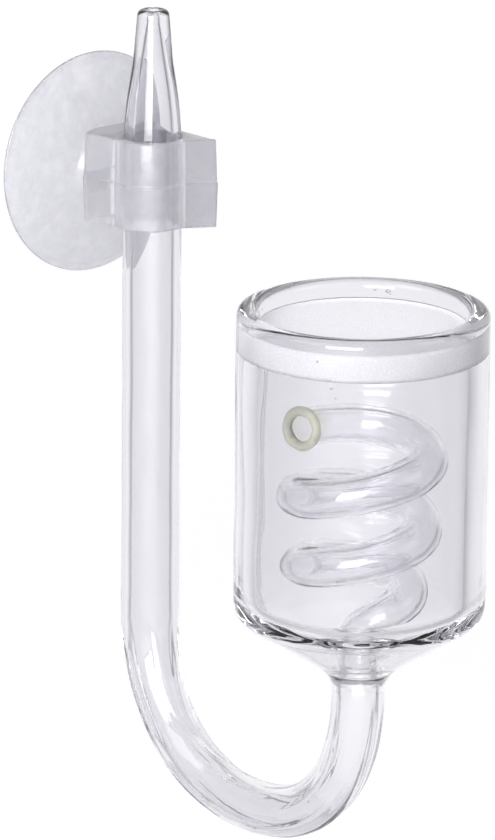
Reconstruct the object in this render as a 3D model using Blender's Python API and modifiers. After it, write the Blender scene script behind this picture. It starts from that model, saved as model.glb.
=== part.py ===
"""Glass carbon dioxide diffuser on a soft suction holder, for the inside wall of an aquarium.

Frame: metres, +Z up. The origin is the centre of the suction cup's lip, the aquarium wall is the
plane y = 0 and +Y points into it, so everything else stands on the -Y side. The stem and the cup
both have upright axes in the plane x = 0.

The glass is lampworked: a drawn hose nozzle, a straight stem, a return bend, a cup made of a coned
base and a cylinder, a spiral tube inside the cup and a sintered disc that closes it near the top.
The holder is a suction cup with a block that grips the stem. The glass slides up through the block.
"""

import math

import bmesh
import bpy

# Clearance between pieces that meet
GAP = 0.0003
MERGE = 0.00001

# Stem and nozzle, about the stem axis
STEM_Y = -0.0157
STEM_RADIUS = 0.00487
TUBE_WALL = 0.0016
NOZZLE_BASE_Z = 0.0045
SHOULDER_TOP_Z = 0.0193
NOZZLE_TOP_Z = 0.0280
SHOULDER_RADIUS = 0.00335
NOZZLE_TIP_RADIUS = 0.00265
TIP_ROUNDING = 0.0009
TIP_BORE_RADIUS = 0.00088
TIP_BORE_LENGTH = 0.0020
SHOULDER_BORE_RADIUS = 0.00185

# Return bend, from the stem to the neck below the cup
CUP_Y = -0.0675
BEND_TOP_Z = -0.0734
BEND_SQUARENESS = 0.028
BEND_TUBE_RADIUS = 0.0044
BEND_TUBE_WALL = 0.0015
BEND_STUB = 0.0010
NECK_Z = -0.0718

# Cup, about its own axis
CUP_RADIUS = 0.0200
CUP_WALL = 0.0034
RIM_Z = -0.01025
RIM_ROUNDING = 0.0013
WALL_FOOT_Z = -0.0570
BASE_SHOULDER_Z = -0.0580
CORNER_RADIUS = 0.0197
CORNER_Z = -0.0595
CONE_TOP_RADIUS = 0.0186
CONE_TOP_Z = -0.0609
CONE_FOOT_RADIUS = 0.0062
CONE_FOOT_Z = -0.0688
FLARE_RADIUS = 0.0053
FLARE_Z = -0.0701
FLOOR_CORNER_RADIUS = 0.0150
FLOOR_CORNER_Z = -0.0592
FLOOR_HOLE_Z = -0.0680

# Sintered disc
DISC_TOP_Z = -0.0130
DISC_THICKNESS = 0.0044
DISC_EDGE_CHAMFER = 0.0003

# Spiral tube: a foot on the cup's floor that winds outward into a right-handed helix
SPIRAL_TUBE_RADIUS = 0.0033
SPIRAL_TUBE_WALL = 0.0010
SPIRAL_FOOT_RADIUS = 0.0092
SPIRAL_TOP_RADIUS = 0.0108
SPIRAL_PITCH = 0.0114
SPIRAL_FOOT_Z = -0.0660
SPIRAL_FOOT_STUB = 0.0008
SPIRAL_FOOT_TURN_IN = 1.6
SPIRAL_FOOT_DIVE = 2.5
SPIRAL_FOOT_ANGLE = math.radians(-140)
SPIRAL_FULL_ANGLE = math.radians(49)
SPIRAL_FULL_Z = -0.0541
SPIRAL_LEAN_ANGLE = math.radians(320)
SPIRAL_LEAN = 0.0005
SPIRAL_LEVEL_ANGLE = math.radians(680)
SPIRAL_LEVEL_DROP = 0.0012
SPIRAL_TOP_ANGLE = math.radians(832)
SPIRAL_POINTS_PER_TURN = 18

# Suction cup: radius and height above the wall of its two surfaces
LIP_RADIUS = 0.0182
LIP_INNER_RADIUS = 0.0168
LIP_THICKNESS = 0.00045
BOSS_RADIUS = 0.0048
BOSS_HEIGHT = 0.0052
DOME_OUTER = [(0.0165, 0.0013), (0.0130, 0.0024), (0.0095, 0.0033), (0.0065, 0.0040)]
DOME_INNER = [(0.0140, 0.0009), (0.0100, 0.0017), (0.0055, 0.0022)]
DOME_INNER_DEPTH = 0.0024

# Clip block, seen from above
CLIP_HALF_HEIGHT = 0.00725
CLIP_BACK_Y = -BOSS_HEIGHT - GAP
CLIP_BACK_HALF_WIDTH = 0.0044
CLIP_FOOT_HALF_WIDTH = 0.0080
CLIP_FOOT_Y = -0.0075
CLIP_WAIST = [(0.0076, -0.0087), (0.0070, -0.0112), (0.0066, -0.0142)]
CLIP_WRAP_RADIUS = 0.0066
CLIP_WRAP_ANGLES = (math.radians(184), math.radians(240))
CLIP_FRONT = (0.0015, -0.0218)
CLIP_CORNER = (0.0067, -0.0247)
CLIP_SIDE_X = 0.0062
CLIP_DRAFT = 0.025
CLIP_EDGE_BEVEL = 0.0004

TURN_STEPS = 40
SMALL_TURN_STEPS = 24
BEND_STEPS = 22
WRAP_STEPS = 5


def clear_scene():
    """Remove every object that the scene starts with."""
    for scene_object in list(bpy.data.objects):
        bpy.data.objects.remove(scene_object, do_unlink=True)


def make_collection(name):
    """Make a collection under the scene's own one."""
    collection = bpy.data.collections.new(name)
    bpy.context.scene.collection.children.link(collection)
    return collection


def make_material(name, colour, roughness, transmission=0.0, ior=1.47):
    """Make a plain Principled material."""
    material = bpy.data.materials.new(name)
    material.use_nodes = True
    shader = material.node_tree.nodes["Principled BSDF"]
    shader.inputs["Base Color"].default_value = (*colour, 1.0)
    shader.inputs["Roughness"].default_value = roughness
    shader.inputs["Metallic"].default_value = 0.0
    shader.inputs["Transmission Weight"].default_value = transmission
    shader.inputs["IOR"].default_value = ior
    material.diffuse_color = (*colour, 1.0)
    return material


def place(name, data, material, parent, location=(0.0, 0.0, 0.0), rotation=(0.0, 0.0, 0.0)):
    """Add one named sub-part under its body's empty; location is in the world frame."""
    data.materials.append(material)
    part = bpy.data.objects.new(name, data)
    parts_collection.objects.link(part)
    part.parent = parent
    part.location = [at - offset for at, offset in zip(location, parent.location)]
    part.rotation_euler = rotation
    return part


def make_body(name, location):
    """Add an empty that a rigid body's sub-parts hang from."""
    body = bpy.data.objects.new(name, None)
    body.empty_display_size = 0.01
    body.location = location
    parts_collection.objects.link(body)
    return body


def turned(name, profile, material, parent, location, rotation=(0.0, 0.0, 0.0), steps=TURN_STEPS):
    """Turn (radius, height) points about +Z: outer side top to bottom, then back up the inside."""
    count = len(profile)
    meets_axis = profile[0][0] == 0.0
    edge_count = count - 1 if meets_axis else count
    mesh = bpy.data.meshes.new(name)
    points = [(radius, 0.0, height) for radius, height in profile]
    mesh.from_pydata(points, [(i, (i + 1) % count) for i in range(edge_count)], [])
    part = place(name, mesh, material, parent, location, rotation)
    screw = part.modifiers.new("Turn", "SCREW")
    screw.axis = "Z"
    screw.angle = math.tau
    screw.steps = steps
    screw.render_steps = steps
    screw.use_merge_vertices = True
    screw.merge_threshold = MERGE
    screw.use_smooth_shade = True
    return part


def tube(name, path, radius, wall, material, parent, radius_factors=None, bevel_resolution=4):
    """Sweep an open-ended hollow tube along world points, with its wall on the inside."""
    curve = bpy.data.curves.new(name, "CURVE")
    curve.dimensions = "3D"
    curve.bevel_depth = radius
    curve.bevel_resolution = bevel_resolution
    curve.use_fill_caps = False
    spline = curve.splines.new("POLY")
    spline.points.add(len(path) - 1)
    factors = radius_factors or [1.0] * len(path)
    for point, position, factor in zip(spline.points, path, factors):
        point.co = (*(at - offset for at, offset in zip(position, parent.location)), 1.0)
        point.radius = factor
    spline.use_smooth = True
    part = place(name, curve, material, parent, parent.location)
    solidify = part.modifiers.new("Wall", "SOLIDIFY")
    solidify.thickness = wall
    solidify.offset = -1.0
    solidify.use_even_offset = True
    return part


def arc(centre, radius, start, end, steps):
    """Points of a circular arc in a plane, ends included, angles in radians."""
    angles = [start + (end - start) * i / steps for i in range(steps + 1)]
    return [(centre[0] + radius * math.cos(a), centre[1] + radius * math.sin(a)) for a in angles]


def shoulder_profile(start_radius, end_radius, start_z, end_z, steps):
    """Points of the nozzle's shoulder: a quarter sine wave that swells and levels off."""
    points = []
    for i in range(1, steps + 1):
        share = i / steps
        swell = math.sin(share * math.pi / 2)
        points.append((start_radius + (end_radius - start_radius) * swell,
                       start_z + (end_z - start_z) * share))
    return points


def nozzle_profile():
    """The hose nozzle: a rounded tip, a slight taper and a shoulder out to the stem's size."""
    tip = arc((NOZZLE_TIP_RADIUS - TIP_ROUNDING, NOZZLE_TOP_Z - TIP_ROUNDING), TIP_ROUNDING,
              math.pi / 2, 0.0, 3)
    outer = tip + [(SHOULDER_RADIUS, SHOULDER_TOP_Z)]
    outer += shoulder_profile(SHOULDER_RADIUS, STEM_RADIUS, SHOULDER_TOP_Z, NOZZLE_BASE_Z, 6)
    bore = [(TIP_BORE_RADIUS, NOZZLE_TOP_Z), (TIP_BORE_RADIUS, NOZZLE_TOP_Z - TIP_BORE_LENGTH),
            (SHOULDER_BORE_RADIUS, SHOULDER_TOP_Z)]
    bore += shoulder_profile(SHOULDER_BORE_RADIUS, STEM_RADIUS - TUBE_WALL,
                             SHOULDER_TOP_Z, NOZZLE_BASE_Z, 4)
    return outer + bore[::-1]


def ring_profile(radius, wall, top, foot):
    """A plain pipe length."""
    return [(radius, top), (radius, foot), (radius - wall, foot), (radius - wall, top)]


def cup_wall_profile():
    """The cup's cylinder with its fire-polished rim."""
    inner_radius = CUP_RADIUS - CUP_WALL
    height = RIM_Z - RIM_ROUNDING
    rim = arc((inner_radius + RIM_ROUNDING, height), RIM_ROUNDING, math.pi, math.pi / 2, 3)
    rim += arc((CUP_RADIUS - RIM_ROUNDING, height), RIM_ROUNDING, math.pi / 2, 0.0, 3)
    return rim + [(CUP_RADIUS, WALL_FOOT_Z), (inner_radius, WALL_FOOT_Z)]


def cup_base_profile():
    """The cup's rounded corner, cone and neck, and the floor that narrows to the gas hole."""
    top = WALL_FOOT_Z - GAP
    inner_radius = CUP_RADIUS - CUP_WALL
    bore = BEND_TUBE_RADIUS - BEND_TUBE_WALL
    corner = [(CUP_RADIUS, top), (CUP_RADIUS, BASE_SHOULDER_Z), (CORNER_RADIUS, CORNER_Z),
              (CONE_TOP_RADIUS, CONE_TOP_Z)]
    neck = [(CONE_FOOT_RADIUS, CONE_FOOT_Z), (FLARE_RADIUS, FLARE_Z),
            (BEND_TUBE_RADIUS, NECK_Z + GAP)]
    floor = [(bore, NECK_Z + GAP), (bore, FLOOR_HOLE_Z), (FLOOR_CORNER_RADIUS, FLOOR_CORNER_Z),
             (inner_radius, top)]
    return corner + neck + floor


def disc_profile():
    """The sintered disc, with a small chamfer all round both edges."""
    radius = CUP_RADIUS - CUP_WALL - GAP
    foot = DISC_TOP_Z - DISC_THICKNESS
    rim = radius - DISC_EDGE_CHAMFER
    return [(0.0, DISC_TOP_Z), (rim, DISC_TOP_Z), (radius, DISC_TOP_Z - DISC_EDGE_CHAMFER),
            (radius, foot + DISC_EDGE_CHAMFER), (rim, foot), (0.0, foot)]


def suction_cup_profile():
    """The suction cup: boss, shallow dome, thin flat lip and the hollow that grips the wall."""
    outer = [(0.0, BOSS_HEIGHT), (BOSS_RADIUS, BOSS_HEIGHT)] + DOME_OUTER[::-1]
    lip = [(LIP_RADIUS, LIP_THICKNESS), (LIP_RADIUS, 0.0), (LIP_INNER_RADIUS, 0.0)]
    return outer + lip + DOME_INNER + [(0.0, DOME_INNER_DEPTH)]


def bend_path():
    """Centre line of the return bend and how much fatter than its own tube it starts."""
    radius = (STEM_Y - CUP_Y) / 2
    centre = ((STEM_Y + CUP_Y) / 2, BEND_TOP_Z)
    path = [(0.0, STEM_Y, BEND_TOP_Z + BEND_STUB)]
    for i in range(BEND_STEPS + 1):
        angle = math.pi * i / BEND_STEPS
        reach = radius * (1.0 + BEND_SQUARENESS * math.sin(2 * angle) ** 2)
        path.append((0.0, centre[0] + reach * math.cos(angle), centre[1] - reach * math.sin(angle)))
    path.append((0.0, CUP_Y, NECK_Z))
    swell = STEM_RADIUS / BEND_TUBE_RADIUS - 1.0
    factors = [1.0 + swell * max(0.0, 1.0 - 4.0 * i / BEND_STEPS) for i in range(len(path))]
    return path, factors


def spiral_point(angle):
    """A point of the spiral tube's centre line at an angle about the cup's axis."""
    rise = SPIRAL_PITCH / math.tau
    height = SPIRAL_FULL_Z + rise * (angle - SPIRAL_FULL_ANGLE)
    if angle < SPIRAL_FULL_ANGLE:
        foot_turn = SPIRAL_FULL_ANGLE - SPIRAL_FOOT_ANGLE
        inward = (SPIRAL_FULL_ANGLE - angle) / foot_turn
        drop = SPIRAL_FULL_Z - rise * foot_turn - SPIRAL_FOOT_Z - SPIRAL_FOOT_STUB
        outward = 1.0 - inward ** SPIRAL_FOOT_TURN_IN
        radius = SPIRAL_FOOT_RADIUS * outward ** 2 * (3.0 - 2.0 * outward)
        height -= drop * inward ** SPIRAL_FOOT_DIVE
    else:
        share = (angle - SPIRAL_FULL_ANGLE) / (SPIRAL_TOP_ANGLE - SPIRAL_FULL_ANGLE)
        radius = SPIRAL_FOOT_RADIUS + (SPIRAL_TOP_RADIUS - SPIRAL_FOOT_RADIUS) * share
    if angle > SPIRAL_LEVEL_ANGLE:
        share = (angle - SPIRAL_LEVEL_ANGLE) / (SPIRAL_TOP_ANGLE - SPIRAL_LEVEL_ANGLE)
        height -= SPIRAL_LEVEL_DROP * share ** 2
    height += SPIRAL_LEAN * math.cos(angle - SPIRAL_LEAN_ANGLE) * radius / SPIRAL_TOP_RADIUS
    return (radius * math.cos(angle), CUP_Y + radius * math.sin(angle), height)


def spiral_path():
    """Centre line of the spiral tube, from the cup's floor to its open end."""
    turn_angle = SPIRAL_TOP_ANGLE - SPIRAL_FOOT_ANGLE
    count = math.ceil(SPIRAL_POINTS_PER_TURN * turn_angle / math.tau)
    path = [(0.0, CUP_Y, SPIRAL_FOOT_Z)]
    path += [spiral_point(SPIRAL_FOOT_ANGLE + turn_angle * i / count) for i in range(count + 1)]
    return path


def clip_outline():
    """The clip block seen from above: a flared foot, an arm round the stem and a square corner."""
    wrap = arc((0.0, STEM_Y), CLIP_WRAP_RADIUS, *CLIP_WRAP_ANGLES, WRAP_STEPS)
    waist = [(-CLIP_BACK_HALF_WIDTH, CLIP_BACK_Y), (-CLIP_FOOT_HALF_WIDTH, CLIP_FOOT_Y)]
    waist += [(-x, y) for x, y in CLIP_WAIST]
    far_side = [CLIP_FRONT, CLIP_CORNER, (CLIP_SIDE_X, STEM_Y), CLIP_WAIST[1], CLIP_WAIST[0],
                (CLIP_FOOT_HALF_WIDTH, CLIP_FOOT_Y), (CLIP_BACK_HALF_WIDTH, CLIP_BACK_Y)]
    return waist + wrap + far_side


def make_clip(name, material, parent):
    """The clip block, drafted both ways from its middle and bored for the stem."""
    curve = bpy.data.curves.new(name + "_outline", "CURVE")
    curve.dimensions = "2D"
    curve.fill_mode = "BOTH"
    curve.extrude = CLIP_HALF_HEIGHT
    outline = clip_outline()
    spline = curve.splines.new("POLY")
    spline.points.add(len(outline) - 1)
    for point, (x, y) in zip(spline.points, outline):
        point.co = (x, y, 0.0, 1.0)
    spline.use_cyclic_u = True
    guide = bpy.data.objects.new(name + "_outline", curve)
    cutters_collection.objects.link(guide)
    bpy.context.view_layer.update()
    solid = guide.evaluated_get(bpy.context.evaluated_depsgraph_get())
    mesh = bpy.data.meshes.new_from_object(solid)
    bpy.data.objects.remove(guide, do_unlink=True)
    draft_both_ways(mesh)
    clip = place(name, mesh, material, parent)
    bevel = clip.modifiers.new("Soft edges", "BEVEL")
    bevel.width = CLIP_EDGE_BEVEL
    bevel.segments = 2
    bevel.limit_method = "ANGLE"
    bevel.angle_limit = math.radians(50)
    hole = clip.modifiers.new("Stem hole", "BOOLEAN")
    hole.operation = "DIFFERENCE"
    hole.solver = "EXACT"
    hole.object = make_stem_cutter(name + "_stem_cutter")
    return clip


def draft_both_ways(mesh):
    """Weld a block's caps, split it at mid-height and narrow it towards its top and foot."""
    centre_y = (CLIP_BACK_Y + CLIP_CORNER[1]) / 2
    shape = bmesh.new()
    shape.from_mesh(mesh)
    bmesh.ops.remove_doubles(shape, verts=shape.verts, dist=MERGE)
    bmesh.ops.bisect_plane(shape, geom=shape.verts[:] + shape.edges[:] + shape.faces[:],
                           dist=MERGE, plane_co=(0, 0, 0), plane_no=(0, 0, 1))
    for vertex in shape.verts:
        if abs(vertex.co.z) > MERGE:
            vertex.co.x *= 1.0 - CLIP_DRAFT
            if vertex.co.y < CLIP_FOOT_Y:
                vertex.co.y += CLIP_DRAFT * (centre_y - vertex.co.y)
    shape.to_mesh(mesh)
    shape.free()


def make_stem_cutter(name):
    """The cylinder that clears the stem through the clip block."""
    mesh = bpy.data.meshes.new(name)
    shape = bmesh.new()
    bmesh.ops.create_cone(shape, cap_ends=True, segments=SMALL_TURN_STEPS,
                          radius1=STEM_RADIUS + GAP, radius2=STEM_RADIUS + GAP,
                          depth=CLIP_HALF_HEIGHT * 3)
    shape.to_mesh(mesh)
    shape.free()
    cutter = bpy.data.objects.new(name, mesh)
    cutter.location = (0.0, STEM_Y, 0.0)
    cutter.hide_render = True
    cutter.display_type = "WIRE"
    cutters_collection.objects.link(cutter)
    return cutter


def make_holder():
    """The suction cup and its clip block, which stay on the aquarium wall."""
    holder = make_body("holder_origin", (0.0, 0.0, 0.0))
    pvc = make_material("clear_soft_pvc", (0.80, 0.80, 0.86), 0.18, transmission=0.7, ior=1.52)
    turned("suction_cup", suction_cup_profile(), pvc, holder, (0.0, 0.0, 0.0),
           rotation=(math.pi / 2, 0.0, 0.0))
    make_clip("tube_clip", pvc, holder)


def make_glassware():
    """Everything made of glass, which slides in the clip along the stem's axis."""
    slide = make_body("stem_slide_origin", (0.0, STEM_Y, 0.0))
    glass = make_material("clear_glass", (0.93, 0.95, 0.96), 0.02, transmission=1.0)
    frit = make_material("sintered_frit", (0.92, 0.92, 0.93), 0.8)
    stem_axis = (0.0, STEM_Y, 0.0)
    cup_axis = (0.0, CUP_Y, 0.0)
    turned("inlet_nozzle", nozzle_profile(), glass, slide, stem_axis, steps=SMALL_TURN_STEPS)
    stem = ring_profile(STEM_RADIUS, TUBE_WALL, NOZZLE_BASE_Z - GAP, BEND_TOP_Z + BEND_STUB + GAP)
    turned("stem_tube", stem, glass, slide, stem_axis, steps=SMALL_TURN_STEPS)
    path, factors = bend_path()
    tube("return_bend", path, BEND_TUBE_RADIUS, BEND_TUBE_WALL, glass, slide, factors, 6)
    turned("cup_base", cup_base_profile(), glass, slide, cup_axis)
    turned("cup_wall", cup_wall_profile(), glass, slide, cup_axis)
    tube("spiral_tube", spiral_path(), SPIRAL_TUBE_RADIUS, SPIRAL_TUBE_WALL, glass, slide)
    turned("diffuser_disc", disc_profile(), frit, slide, cup_axis)


clear_scene()
parts_collection = make_collection("carbon_dioxide_diffuser")
cutters_collection = make_collection("cutters")
make_holder()
make_glassware()
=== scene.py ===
"""A hang-on carbon dioxide diffuser: blown glass tube, cup and spiral on a soft PVC suction holder."""

import logging
import math
from dataclasses import dataclass, field
from enum import Enum

import bmesh
import bpy
from mathutils import Matrix, Quaternion, Vector, noise


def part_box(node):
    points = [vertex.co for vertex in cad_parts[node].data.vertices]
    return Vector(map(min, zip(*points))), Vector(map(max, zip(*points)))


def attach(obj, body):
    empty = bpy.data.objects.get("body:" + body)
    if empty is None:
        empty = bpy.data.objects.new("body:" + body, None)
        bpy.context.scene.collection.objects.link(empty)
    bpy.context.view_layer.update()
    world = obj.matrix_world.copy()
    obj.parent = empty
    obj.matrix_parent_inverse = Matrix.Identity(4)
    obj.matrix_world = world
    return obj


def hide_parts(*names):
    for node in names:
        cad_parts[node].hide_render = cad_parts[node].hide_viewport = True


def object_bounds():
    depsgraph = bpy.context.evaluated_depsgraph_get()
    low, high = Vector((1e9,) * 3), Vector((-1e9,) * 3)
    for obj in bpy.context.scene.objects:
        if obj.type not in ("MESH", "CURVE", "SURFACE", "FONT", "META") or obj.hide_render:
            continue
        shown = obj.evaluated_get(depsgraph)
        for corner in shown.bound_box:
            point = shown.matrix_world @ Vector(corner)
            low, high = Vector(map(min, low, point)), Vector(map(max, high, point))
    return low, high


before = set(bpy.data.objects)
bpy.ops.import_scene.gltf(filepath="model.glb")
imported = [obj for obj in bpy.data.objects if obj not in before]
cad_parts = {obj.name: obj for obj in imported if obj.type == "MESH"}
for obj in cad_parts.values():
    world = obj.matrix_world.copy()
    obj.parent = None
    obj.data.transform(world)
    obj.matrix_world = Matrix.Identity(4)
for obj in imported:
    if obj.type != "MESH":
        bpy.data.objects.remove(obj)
cad_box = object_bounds()
log = logging.getLogger("diffuser")

# Corner points, in metres
Outline = tuple[tuple[float, float], ...]

UP = Vector((0.0, 0.0, 1.0))
RIGHT = Vector((1.0, 0.0, 0.0))

# Waves to the metre of the sway that hand work leaves in glass
SWAY_PITCH = 95.0
# Draw lines: noise steps round a tube, and to the metre along it
LINES_ROUND = 2.9
LINES_ALONG = 55.0
# Share of a bend that its draw lines take to fade in or out
LINE_FADE = 1.0 / 7.0
# The share of a stretch that one rounding may take up
FILLET_SHARE = 0.48


class Body(Enum):
    """The rigid bodies that pieces ride on."""

    HOLDER = "holder"
    GLASSWARE = "glassware"


class Slot(Enum):
    """Names of material slots; no piece takes its finish from them."""

    GLASS = "clear_glass"
    DISC = "sintered_disc"
    VINYL = "clear_pvc"


class Socket(Enum):
    """The kinds of value that a node group takes in or gives out."""

    NUMBER = "NodeSocketFloat"
    VECTOR = "NodeSocketVector"


# ---------------------------------------------------------------------------------------------
# Outlines and hoops
# ---------------------------------------------------------------------------------------------


@dataclass(frozen=True)
class Hoop:
    """One closed ring of a tubular skin.

    Attributes:
        centre: The middle of the ring, in metres.
        across: The direction of its first point.
        beside: The direction a quarter turn further on.
        radius: Its radius in metres.
        fluting: Depth of the draw lines that run lengthwise through it, in metres.
    """

    centre: Vector
    across: Vector
    beside: Vector
    radius: float
    fluting: float = 0.0

    def point(self, angle: float) -> Vector:
        """The point of the ring at an angle in radians."""
        way = self.across * math.cos(angle) + self.beside * math.sin(angle)
        return self.centre + way * self.radius

    def resized(self, radius: float) -> "Hoop":
        """The same ring with another radius."""
        return Hoop(self.centre, self.across, self.beside, radius, self.fluting)

    def worked(self, angle: float, unevenness: float) -> Vector:
        """The point at an angle where hand-worked glass pulls in from a true ring.

        Args:
            angle: The angle in radians.
            unevenness: How far the surface wanders, in metres.

        Returns:
            The point, never outside the true ring.
        """
        sway = unevenness * (noise.noise(self.point(angle) * SWAY_PITCH) - 1.0)
        if self.fluting:
            line = noise.noise(Vector((LINES_ROUND * math.cos(angle),
                                       LINES_ROUND * math.sin(angle),
                                       LINES_ALONG * (self.centre.y + self.centre.z))))
            sway -= self.fluting * max(0.0, line)
        return self.resized(self.radius + sway).point(angle)


def filleted(points: list[tuple[float, float]], reach: float, steps: int = 5) -> list[Vector]:
    """Round the inner corners of an open outline.

    Args:
        points: The outline's corners, in order.
        reach: How far each rounding runs back from its corner, at most.
        steps: Straight pieces in each rounding.

    Returns:
        The rounded outline, its two ends unmoved.
    """
    corners = [Vector(point) for point in points]
    rounded = [corners[0]]
    for before, corner, after in zip(corners, corners[1:], corners[2:]):
        back = before - corner
        ahead = after - corner
        start = corner + back.normalized() * min(reach, FILLET_SHARE * back.length)
        end = corner + ahead.normalized() * min(reach, FILLET_SHARE * ahead.length)
        for step in range(steps + 1):
            share = step / steps
            rounded.append(start.lerp(corner, share).lerp(corner.lerp(end, share), share))
    rounded.append(corners[-1])
    return rounded


def divided(points: list[Vector], longest: float) -> list[Vector]:
    """Split the long stretches of a line into equal shorter ones.

    Args:
        points: The line's points.
        longest: The longest stretch that stays whole, in metres.

    Returns:
        The line with more points on it.
    """
    line = [points[0]]
    for start, end in zip(points, points[1:]):
        count = max(1, math.ceil((end - start).length / longest))
        line += [start.lerp(end, step / count) for step in range(1, count + 1)]
    return line


def arc(centre: tuple[float, float], radius: float, start: float, end: float,
        steps: int) -> list[tuple[float, float]]:
    """Points of a circular arc, ends included.

    Args:
        centre: The arc's centre.
        radius: Its radius.
        start: First angle in degrees.
        end: Last angle in degrees.
        steps: Straight pieces in it.

    Returns:
        The arc's points.
    """
    angles = [math.radians(start + (end - start) * step / steps) for step in range(steps + 1)]
    return [(centre[0] + radius * math.cos(a), centre[1] + radius * math.sin(a)) for a in angles]


def turned_hoops(origin: Vector, axis: Vector, across: Vector, beside: Vector,
                 profile: list[Vector]) -> list[Hoop]:
    """Rings about a straight axis.

    Args:
        origin: The point of the axis that heights are counted from.
        axis: Its direction.
        across: The direction of each ring's first point.
        beside: The direction a quarter turn further on.
        profile: Radius and height of each ring.

    Returns:
        One ring for each point of the profile.
    """
    return [Hoop(origin + axis * height, across, beside, radius) for radius, height in profile]


def swept_hoops(path: list[Vector], radii: list[float], across: Vector,
                fluting: float = 0.0) -> list[Hoop]:
    """Rings square to a curved path, carried along it without twist.

    Args:
        path: The centre line.
        radii: The ring's radius at each point of it.
        across: The direction of the first ring's first point.
        fluting: Depth of the draw lines; they fade out towards both ends.

    Returns:
        One ring for each point of the path.
    """
    hoops = []
    last = len(path) - 1
    for index, (centre, radius) in enumerate(zip(path, radii)):
        tangent = (path[min(index + 1, last)] - path[max(index - 1, 0)]).normalized()
        across = (across - tangent * across.dot(tangent)).normalized()
        fade = min(1.0, min(index, last - index) / (LINE_FADE * last))
        hoops.append(Hoop(centre, across, tangent.cross(across), radius, fluting * fade))
    return hoops


def skin(name: str, hoops: list[Hoop], around: int, looped: bool,
         unevenness: float = 0.0) -> bpy.types.Object:
    """Join rings into one closed surface, and add it to the scene.

    Args:
        name: The new piece's name.
        hoops: The rings in order.
        around: Points on each ring.
        looped: Whether the last ring joins the first; otherwise both ends are closed at a point.
        unevenness: How far the surface wanders inward from a true ring, in metres.

    Returns:
        The new object.
    """
    shape = bmesh.new()
    angles = [math.tau * step / around for step in range(around)]
    rings = []
    for hoop in hoops:
        ring = []
        for angle in angles:
            ring.append(shape.verts.new(hoop.worked(angle, unevenness)))
        rings.append(ring)
    pairs = list(zip(rings, rings[1:]))
    if looped:
        pairs.append((rings[-1], rings[0]))
    for ring, following in pairs:
        for index in range(around):
            beyond = (index + 1) % around
            shape.faces.new((ring[index], ring[beyond], following[beyond], following[index]))
    if not looped:
        for ring, hoop in ((rings[0], hoops[0]), (rings[-1], hoops[-1])):
            middle = shape.verts.new(hoop.centre)
            for index in range(around):
                shape.faces.new((ring[index], ring[(index + 1) % around], middle))
    return finished(name, shape)


def finished(name: str, shape: bmesh.types.BMesh) -> bpy.types.Object:
    """Turn a closed shape's faces outward, shade it smooth and add it to the scene.

    Args:
        name: The new piece's name.
        shape: Its surface; it is freed here.

    Returns:
        The new object.
    """
    bmesh.ops.recalc_face_normals(shape, faces=shape.faces)
    mesh = bpy.data.meshes.new(name)
    shape.to_mesh(mesh)
    shape.free()
    mesh.shade_smooth()
    piece = bpy.data.objects.new(name, mesh)
    bpy.context.scene.collection.objects.link(piece)
    return piece


def declare(piece: bpy.types.Object, body: Body, stands_for: tuple[str, ...]) -> None:
    """Tell the frame what a piece rides on, which nodes it stands for.

    Args:
        piece: The finished piece.
        body: The body that carries it.
        stands_for: The nodes that it takes the place of.
    """
    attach(piece, body.value)
    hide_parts(*stands_for)
    log.info("%s: %d faces, on %s, for %s", piece.name, len(piece.data.polygons), body.value,
             ", ".join(stands_for))


# ---------------------------------------------------------------------------------------------
# Node graphs
# ---------------------------------------------------------------------------------------------


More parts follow.
